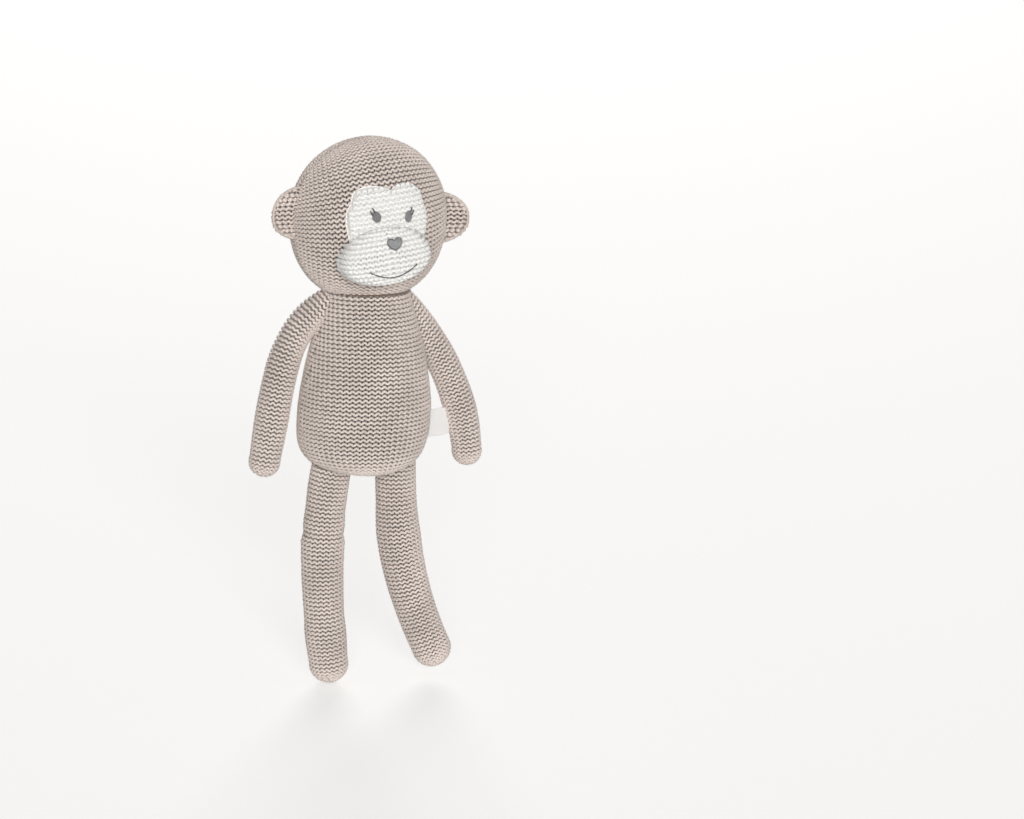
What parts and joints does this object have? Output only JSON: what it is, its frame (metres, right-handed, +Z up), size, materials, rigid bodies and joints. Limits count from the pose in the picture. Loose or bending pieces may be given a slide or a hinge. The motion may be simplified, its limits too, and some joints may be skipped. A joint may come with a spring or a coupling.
{
  "type": "knitted plush monkey",
  "caption": "Stuffed toy monkey sewn from knitted cotton: egg-shaped torso, round head with a white face and puffed muzzle, half-round ears and long soft limbs that swing.",
  "frame": {"origin": "middle of the flattened back, where the toy lies against what holds it", "axes": "+Z up the toy, +Y out of its back, +X towards the toy's own left side; the face looks along -Y"},
  "size_m": [0.1538, 0.1019, 0.3496],
  "materials": {
    "knit_greige": "purl-side cotton knit, greige",
    "knit_white": "fine cotton knit, white",
    "stuffing": "loose polyester filling",
    "embroidery_grey": "satin-stitch thread, grey",
    "embroidery_dark": "stem-stitch thread, dark grey",
    "sewing_thread": "cotton sewing thread",
    "label_tape": "woven tape, bare white"
  },
  "bodies": {
    "torso": {"torso_cover": "knit_greige", "torso_stuffing": "stuffing", "torso_right_side_seam": "sewing_thread", "torso_left_side_seam": "sewing_thread"},
    "neck": {"neck_gather_thread": "sewing_thread"},
    "head": {"head_cover": "knit_greige", "head_stuffing": "stuffing", "face_mask": "knit_white", "muzzle_cover": "knit_white", "muzzle_stuffing": "stuffing", "right_eye": "embroidery_grey", "left_eye": "embroidery_grey", "nose": "embroidery_grey", "mouth": "embroidery_dark"},
    "right_ear": {"right_ear_front": "knit_greige", "right_ear_back": "knit_greige"},
    "left_ear": {"left_ear_front": "knit_greige", "left_ear_back": "knit_greige"},
    "right_arm": {"right_arm_cover": "knit_greige", "right_arm_stuffing": "stuffing", "right_arm_gather_thread": "sewing_thread"},
    "left_arm": {"left_arm_cover": "knit_greige", "left_arm_stuffing": "stuffing", "left_arm_gather_thread": "sewing_thread"},
    "right_leg": {"right_leg_cover": "knit_greige", "right_leg_stuffing": "stuffing", "right_leg_gather_thread": "sewing_thread"},
    "left_leg": {"left_leg_cover": "knit_greige", "left_leg_stuffing": "stuffing", "left_leg_gather_thread": "sewing_thread"},
    "label": {"care_label": "label_tape"}
  },
  "joints": [
    {"name": "neck_turn", "type": "hinge", "parent": "torso", "child": "neck", "pos_m": [0, -0.03835, 0.04603], "axis": [0, 0, 1], "range_deg": [-40, 40]},
    {"name": "head_nod", "type": "hinge", "parent": "neck", "child": "head", "pos_m": [0, -0.03835, 0.04603], "axis": [1, 0, 0], "range_deg": [-12, 10], "stiffness_Nm_per_rad": 0.12},
    {"name": "right_ear_fold", "type": "hinge", "parent": "head", "child": "right_ear", "pos_m": [-0.05215, -0.04035, 0.111], "axis": [0, 0, 1], "range_deg": [-25, 25]},
    {"name": "left_ear_fold", "type": "hinge", "parent": "head", "child": "left_ear", "pos_m": [0.05215, -0.04035, 0.106], "axis": [0, 0, -1], "range_deg": [-25, 25]},
    {"name": "right_arm_swing", "type": "hinge", "parent": "torso", "child": "right_arm", "pos_m": [-0.03231, -0.03435, 0.049], "axis": [-1, 0, 0], "range_deg": [-45, 95]},
    {"name": "left_arm_swing", "type": "hinge", "parent": "torso", "child": "left_arm", "pos_m": [0.03231, -0.03435, 0.049], "axis": [-1, 0, 0], "range_deg": [-45, 95]},
    {"name": "right_leg_swing", "type": "hinge", "parent": "torso", "child": "right_leg", "pos_m": [-0.0215, -0.03335, -0.06766], "axis": [-1, 0, 0], "range_deg": [-25, 90]},
    {"name": "left_leg_swing", "type": "hinge", "parent": "torso", "child": "left_leg", "pos_m": [0.0215, -0.03335, -0.06766], "axis": [-1, 0, 0], "range_deg": [-25, 90]},
    {"name": "label_flap", "type": "hinge", "parent": "torso", "child": "label", "pos_m": [0.0453, -0.03835, -0.026], "axis": [0, 0, 1], "range_deg": [-70, 45]}
  ]
}
